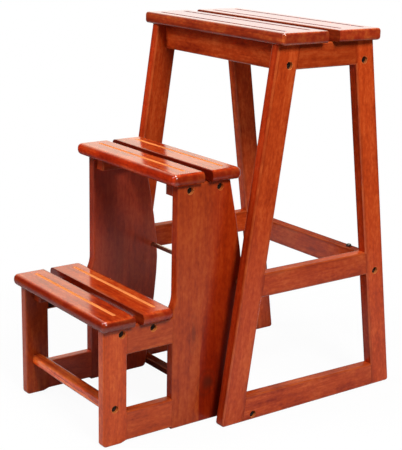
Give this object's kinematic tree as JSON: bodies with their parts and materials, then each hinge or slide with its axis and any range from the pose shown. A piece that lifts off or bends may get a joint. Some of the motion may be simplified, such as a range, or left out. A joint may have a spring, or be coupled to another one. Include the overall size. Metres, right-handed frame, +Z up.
{
  "type": "folding step stool",
  "caption": "Wooden step stool: a slatted seat on splayed side frames is the top step, and a unit with the lower steps folds up between them on a steel rod.",
  "frame": {"origin": "on the floor, under the middle of the stool's footprint with the steps folded out", "axes": "+X to the stool's right side seen from the front, +Y from the steps at the front to the back, +Z up"},
  "size_m": [0.4, 0.6052, 0.66],
  "materials": {
    "lacquered_wood": "red-brown stain under gloss lacquer",
    "steel": "bright drawn rod",
    "dark_steel": "blackened",
    "nylon": "dark brown, matt",
    "rubber": "dark grey"
  },
  "bodies": {
    "stand": {"seat_front_slat": "lacquered_wood", "seat_rear_slat": "lacquered_wood", "left_front_leg": "lacquered_wood", "left_rear_leg": "lacquered_wood", "left_top_rail": "lacquered_wood", "left_middle_rail": "lacquered_wood", "left_bottom_rail": "lacquered_wood", "right_front_leg": "lacquered_wood", "right_rear_leg": "lacquered_wood", "right_top_rail": "lacquered_wood", "right_middle_rail": "lacquered_wood", "right_bottom_rail": "lacquered_wood", "front_apron": "lacquered_wood", "rear_apron": "lacquered_wood", "rear_stretcher": "lacquered_wood", "bottom_stretcher": "lacquered_wood", "left_front_apron_bolt": "dark_steel", "left_rear_apron_bolt": "dark_steel", "left_rear_stretcher_bolt": "dark_steel", "left_bottom_stretcher_bolt": "dark_steel", "right_front_apron_bolt": "dark_steel", "right_rear_apron_bolt": "dark_steel", "right_rear_stretcher_bolt": "dark_steel", "right_bottom_stretcher_bolt": "dark_steel", "left_bumper": "rubber", "right_bumper": "rubber", "pivot_rod": "steel", "left_pivot_spacer": "nylon", "right_pivot_spacer": "nylon"},
    "step_unit": {"lower_tread_front_slat": "lacquered_wood", "lower_tread_rear_slat": "lacquered_wood", "upper_tread_front_slat": "lacquered_wood", "upper_tread_rear_slat": "lacquered_wood", "left_panel_stile": "lacquered_wood", "left_panel_upper_rail": "lacquered_wood", "left_panel_lower_rail": "lacquered_wood", "left_panel_upright": "lacquered_wood", "left_lower_cleat": "lacquered_wood", "left_upper_cleat": "lacquered_wood", "left_lower_cleat_front_screw": "dark_steel", "left_lower_cleat_rear_screw": "dark_steel", "left_upper_cleat_front_screw": "dark_steel", "left_upper_cleat_rear_screw": "dark_steel", "left_front_rail_screw": "dark_steel", "right_panel_stile": "lacquered_wood", "right_panel_upper_rail": "lacquered_wood", "right_panel_lower_rail": "lacquered_wood", "right_panel_upright": "lacquered_wood", "right_lower_cleat": "lacquered_wood", "right_upper_cleat": "lacquered_wood", "right_lower_cleat_front_screw": "dark_steel", "right_lower_cleat_rear_screw": "dark_steel", "right_upper_cleat_front_screw": "dark_steel", "right_upper_cleat_rear_screw": "dark_steel", "right_front_rail_screw": "dark_steel", "step_front_rail": "lacquered_wood"}
  },
  "joints": [
    {"name": "step_fold", "type": "hinge", "parent": "stand", "child": "step_unit", "pos_m": [0, -0.02736, 0.24], "axis": [-1, 0, 0], "range_deg": [0, 180]}
  ]
}
